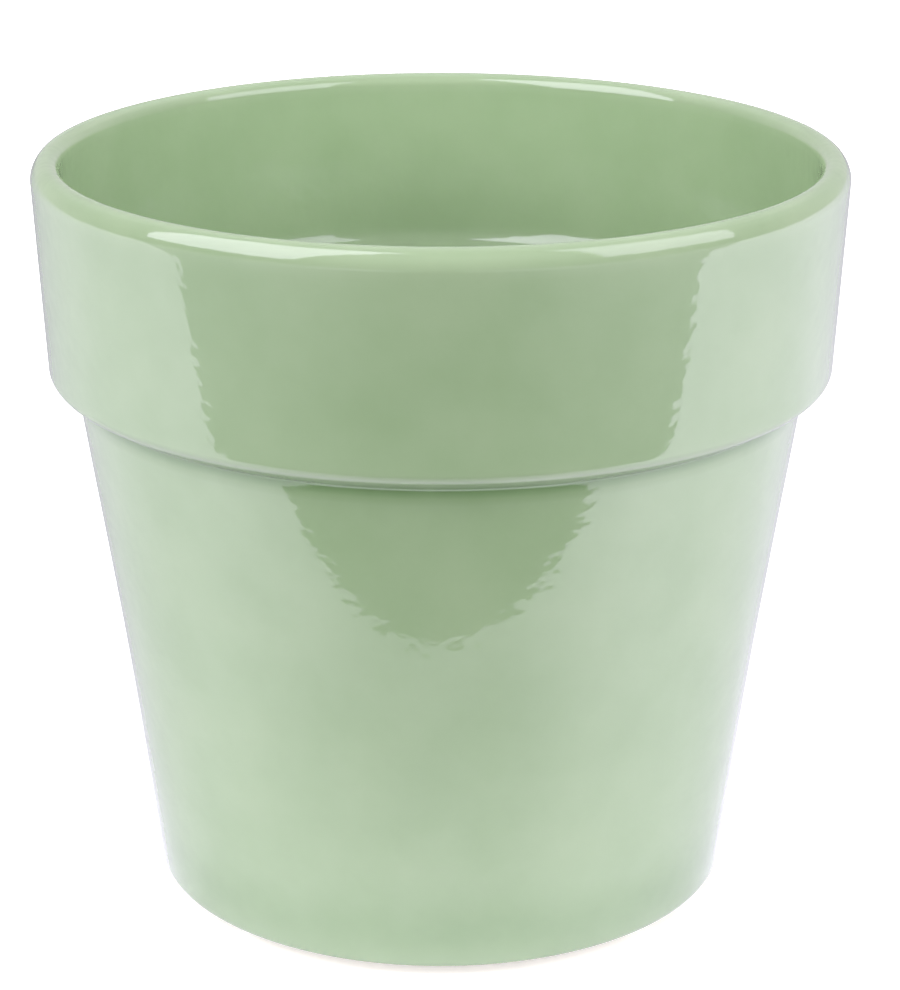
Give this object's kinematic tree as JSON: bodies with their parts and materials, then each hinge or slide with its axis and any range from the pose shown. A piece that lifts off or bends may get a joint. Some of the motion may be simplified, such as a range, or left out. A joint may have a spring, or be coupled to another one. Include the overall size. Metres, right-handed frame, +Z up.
{
  "type": "flower pot",
  "caption": "Glazed earthenware cover pot for a house plant: tapered round body, wide collar under a rounded rim, inside ledge, foot ring on soft pads.",
  "frame": {"origin": "on the surface that the pot stands on, at the centre of its foot", "axes": "+Z up along the pot's own axis, +X and +Y across it, with the pads between them at 45 degrees"},
  "size_m": [0.14, 0.14, 0.1315],
  "materials": {
    "sage_glaze": "glossy sage green glaze over pale earthenware, dry unglazed foot ring",
    "pad_silicone": "translucent soft satin"
  },
  "bodies": {
    "root": {"pot_body": "sage_glaze", "foot_pad_1": "pad_silicone", "foot_pad_2": "pad_silicone", "foot_pad_3": "pad_silicone", "foot_pad_4": "pad_silicone"}
  },
  "joints": []
}
